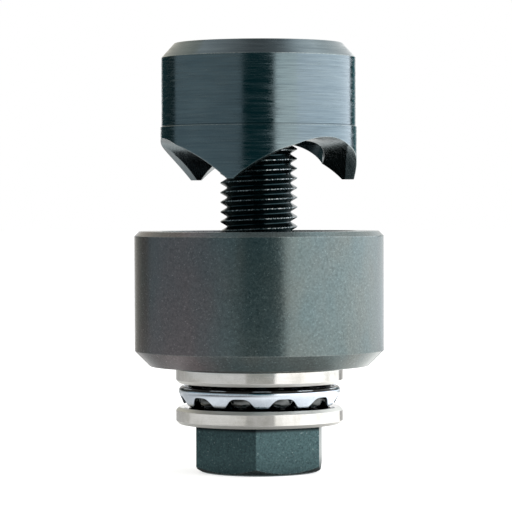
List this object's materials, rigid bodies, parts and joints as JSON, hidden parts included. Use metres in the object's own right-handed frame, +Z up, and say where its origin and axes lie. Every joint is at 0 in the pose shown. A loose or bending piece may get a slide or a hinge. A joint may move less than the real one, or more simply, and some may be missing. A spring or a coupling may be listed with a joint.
{
  "type": "sheet metal hole punch",
  "caption": "Round hole punch for sheet metal: a toothed punch is drawn down into a die by a hexagon head bolt on a thrust ball bearing.",
  "frame": {"origin": "centre of the outer face of the bolt's hexagon head, on which the tool stands", "axes": "+Z up the bolt towards the punch; -Y is the side that faces the picture's camera; +X to its right"},
  "size_m": [0.0388, 0.0388, 0.0666],
  "materials": {
    "punch_steel": "satin",
    "die_steel": "satin",
    "bolt_steel": "satin",
    "bearing_steel": "satin",
    "cage_steel": "gloss",
    "ball_steel": "polished"
  },
  "bodies": {
    "die": {"die": "die_steel", "housing_washer": "bearing_steel"},
    "bolt": {"draw_bolt": "bolt_steel", "shaft_washer": "bearing_steel"},
    "ball_set": {"ball_cage": "cage_steel", "ball_01": "ball_steel", "ball_02": "ball_steel", "ball_03": "ball_steel", "ball_04": "ball_steel", "ball_05": "ball_steel", "ball_06": "ball_steel", "ball_07": "ball_steel", "ball_08": "ball_steel", "ball_09": "ball_steel", "ball_10": "ball_steel", "ball_11": "ball_steel"},
    "punch": {"punch": "punch_steel"}
  },
  "joints": [
    {"name": "bolt_turn", "type": "hinge", "parent": "die", "child": "bolt", "pos_m": [0, 0, 0.0075], "axis": [0, 0, 1], "range_deg": [-1080, 3840]},
    {"name": "ball_set_turn", "type": "hinge", "parent": "die", "child": "ball_set", "pos_m": [0, 0, 0.012], "axis": [0, 0, 1], "range_deg": [-540, 1920]},
    {"name": "punch_travel", "type": "slide", "parent": "die", "child": "punch", "axis": [0, 0, -1], "range_m": [-0.0045, 0.016]}
  ],
  "couplings": [
    {"joint": "bolt_turn", "follows": "punch_travel", "rad_per_m": 4188.8},
    {"joint": "ball_set_turn", "follows": "punch_travel", "rad_per_m": 2094.4}
  ]
}
